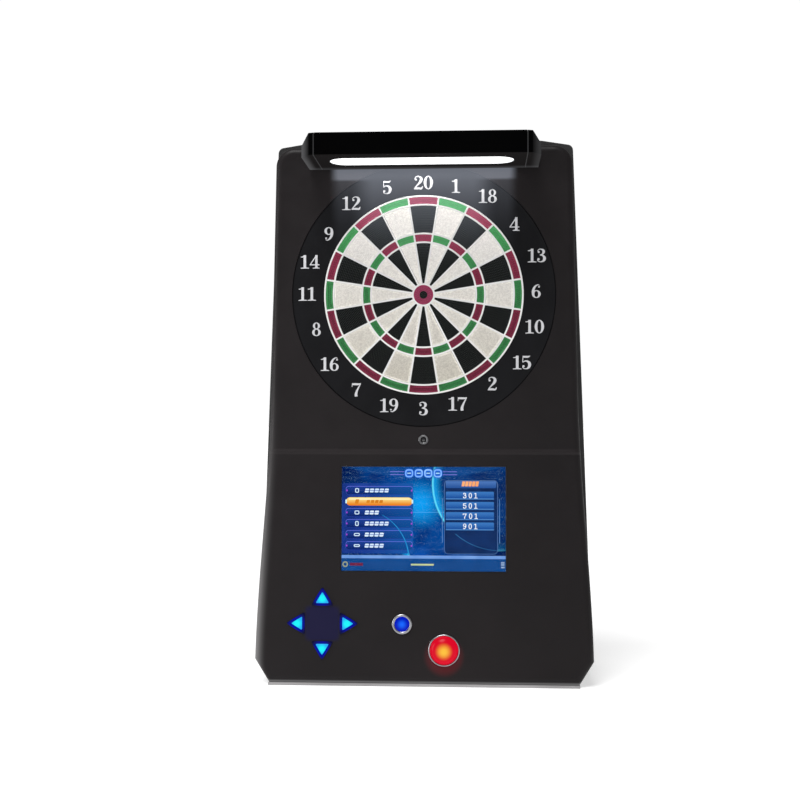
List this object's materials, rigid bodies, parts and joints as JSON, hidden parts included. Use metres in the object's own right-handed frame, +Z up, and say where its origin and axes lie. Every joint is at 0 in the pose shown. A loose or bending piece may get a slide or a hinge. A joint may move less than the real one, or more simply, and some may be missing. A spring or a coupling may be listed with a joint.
{
  "type": "electronic dartboard cabinet",
  "caption": "Tapered black electronic dart cabinet head with a round soft-tip target under a lamp hood, a screen, lit push buttons and a hinged service door at the back.",
  "frame": {"origin": "on the floor, under the middle of the unit's bounding box (hood to rear hinge barrel)", "axes": "+Z up; the front with the target and the screen faces -Y; +X is to the right of a player who faces it"},
  "size_m": [0.6764, 0.4084, 1.095],
  "materials": {
    "panel_plastic": "satin moulded black, faint warm tint",
    "steel_black": "powder coated",
    "steel_bare": "bare plate",
    "gloss_black": "piano gloss",
    "opal": "opal diffuser, lit",
    "ring_black": "fine moulded texture",
    "web_white": "moulded",
    "segment_red": "perforated, crimson and green",
    "segment_cream": "perforated, cream and black",
    "bull_red": "perforated, crimson",
    "rubber": "moulded sheet",
    "film": "polyester film",
    "board_wood": "plywood disc",
    "glass": "clear cover",
    "display": "lit display",
    "circuit": "solder mask",
    "chrome": "plated",
    "lamp_blue": "translucent, lit",
    "lamp_cyan": "translucent, lit",
    "lamp_red": "translucent, lit",
    "plastic_black": "moulded"
  },
  "bodies": {
    "cabinet": {"front_panel": "panel_plastic", "cabinet_shell": "steel_black", "base_plate": "steel_bare", "hood_housing": "gloss_black", "hood_end_cap_left": "gloss_black", "hood_end_cap_right": "gloss_black", "hood_diffuser": "opal", "hood_led_board": "circuit", "number_ring": "ring_black", "spider": "web_white", "inner_single_segments": "segment_cream", "triple_segments": "segment_red", "outer_single_segments": "segment_cream", "double_segments": "segment_red", "rubber_mat": "rubber", "sensor_matrix": "film", "backing_plate": "board_wood", "target_clamp_ring": "steel_bare", "camera_bezel": "steel_bare", "camera_lens": "glass", "camera_module": "plastic_black", "screen_glass": "glass", "lcd_panel": "display", "lcd_frame": "steel_bare", "screen_driver_board": "circuit", "main_board": "circuit", "power_supply": "steel_bare", "speaker_left": "plastic_black", "speaker_right": "plastic_black", "fan_frame": "plastic_black", "power_inlet": "plastic_black", "hinge_leaf_cabinet": "steel_bare", "hinge_pin": "steel_bare", "blue_button_bezel": "chrome", "blue_button_switch": "plastic_black", "red_button_bezel": "chrome", "red_button_switch": "plastic_black", "arrow_bezel_up": "plastic_black", "arrow_switch_up": "plastic_black", "arrow_bezel_down": "plastic_black", "arrow_switch_down": "plastic_black", "arrow_bezel_left": "plastic_black", "arrow_switch_left": "plastic_black", "arrow_bezel_right": "plastic_black", "arrow_switch_right": "plastic_black"},
    "arrow_button_up": {"arrow_button_up": "lamp_cyan"},
    "arrow_button_down": {"arrow_button_down": "lamp_cyan"},
    "arrow_button_left": {"arrow_button_left": "lamp_cyan"},
    "arrow_button_right": {"arrow_button_right": "lamp_cyan"},
    "blue_button": {"blue_button_cap": "lamp_blue"},
    "red_button": {"red_button_cap": "lamp_red"},
    "outer_bull": {"outer_bull": "bull_red"},
    "inner_bull": {"inner_bull": "bull_red"},
    "rear_door": {"rear_door": "steel_black", "hinge_leaf_door": "steel_bare", "lock_body": "chrome"},
    "lock_plug": {"lock_plug": "chrome"},
    "power_rocker": {"power_rocker": "plastic_black"},
    "fan_rotor": {"fan_rotor": "plastic_black"}
  },
  "joints": [
    {"name": "arrow_up_press", "type": "slide", "parent": "cabinet", "child": "arrow_button_up", "axis": [0, 0.9986, -0.0523], "range_m": [0, 0.002], "stiffness_N_per_m": 400, "springref_m": -0.002},
    {"name": "arrow_down_press", "type": "slide", "parent": "cabinet", "child": "arrow_button_down", "axis": [0, 0.9986, -0.0523], "range_m": [0, 0.002], "stiffness_N_per_m": 400, "springref_m": -0.002},
    {"name": "arrow_left_press", "type": "slide", "parent": "cabinet", "child": "arrow_button_left", "axis": [0, 0.9986, -0.0523], "range_m": [0, 0.002], "stiffness_N_per_m": 400, "springref_m": -0.002},
    {"name": "arrow_right_press", "type": "slide", "parent": "cabinet", "child": "arrow_button_right", "axis": [0, 0.9986, -0.0523], "range_m": [0, 0.002], "stiffness_N_per_m": 400, "springref_m": -0.002},
    {"name": "blue_press", "type": "slide", "parent": "cabinet", "child": "blue_button", "axis": [0, 0.9986, -0.0523], "range_m": [0, 0.0025], "stiffness_N_per_m": 400, "springref_m": -0.002},
    {"name": "red_press", "type": "slide", "parent": "cabinet", "child": "red_button", "axis": [0, 0.9986, -0.0523], "range_m": [0, 0.004], "stiffness_N_per_m": 400, "springref_m": -0.002},
    {"name": "outer_bull_press", "type": "slide", "parent": "cabinet", "child": "outer_bull", "axis": [0, 1, 0], "range_m": [0, 0.0015], "stiffness_N_per_m": 1500, "springref_m": -0.002},
    {"name": "inner_bull_press", "type": "slide", "parent": "cabinet", "child": "inner_bull", "axis": [0, 1, 0], "range_m": [0, 0.0015], "stiffness_N_per_m": 1500, "springref_m": -0.002},
    {"name": "rear_door_swing", "type": "hinge", "parent": "cabinet", "child": "rear_door", "pos_m": [-0.234, 0.20015, 0.525], "axis": [0, 0, 1], "range_deg": [0, 110]},
    {"name": "lock_turn", "type": "hinge", "parent": "rear_door", "child": "lock_plug", "pos_m": [0.212, 0.19585, 0.525], "axis": [0, 1, 0], "range_deg": [0, 90]},
    {"name": "power_switch_tilt", "type": "hinge", "parent": "cabinet", "child": "power_rocker", "pos_m": [0.016, 0.19185, 0.066], "axis": [1, 0, 0], "range_deg": [0, 16]},
    {"name": "fan_spin", "type": "hinge", "parent": "cabinet", "child": "fan_rotor", "pos_m": [0, 0.18085, 0.986], "axis": [0, 1, 0], "continuous": true}
  ]
}
